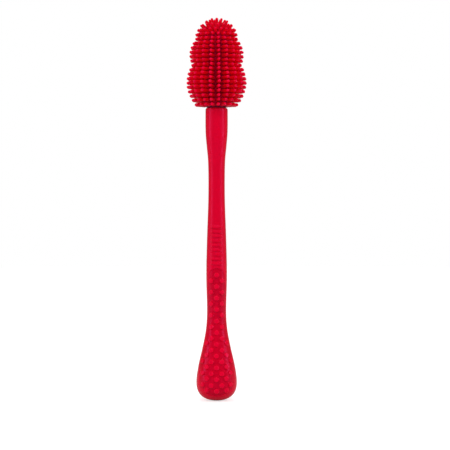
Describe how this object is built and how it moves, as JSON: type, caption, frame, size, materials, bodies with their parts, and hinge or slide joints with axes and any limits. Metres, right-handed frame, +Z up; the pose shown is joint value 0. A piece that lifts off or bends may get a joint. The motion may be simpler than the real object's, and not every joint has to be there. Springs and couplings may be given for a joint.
{
  "type": "bristle brush",
  "caption": "Upright soft brush: lobed all-round silicone bristle head on a slim round shaft with a flared collar and a rounded bulb handle with studded grip pads.",
  "frame": {"origin": "lowest point of the rounded butt, on the long axis", "axes": "+Z up the long axis to the bristle head, -Y the front with the thumb ribs and the studded pad"},
  "size_m": [0.028, 0.028, 0.1778],
  "materials": {
    "stiff_core": "moulded nylon, dark red, fine mould texture",
    "soft_handle": "satin soft-touch elastomer, crimson",
    "soft_pad": "satin soft-touch elastomer, crimson, raised studs",
    "silicone_bristles": "soft translucent silicone, bright red"
  },
  "bodies": {
    "root": {"core_rod": "stiff_core", "handle_grip": "soft_handle", "front_grip_pad": "soft_pad", "rear_grip_pad": "soft_pad", "bristle_head": "silicone_bristles"}
  },
  "joints": []
}
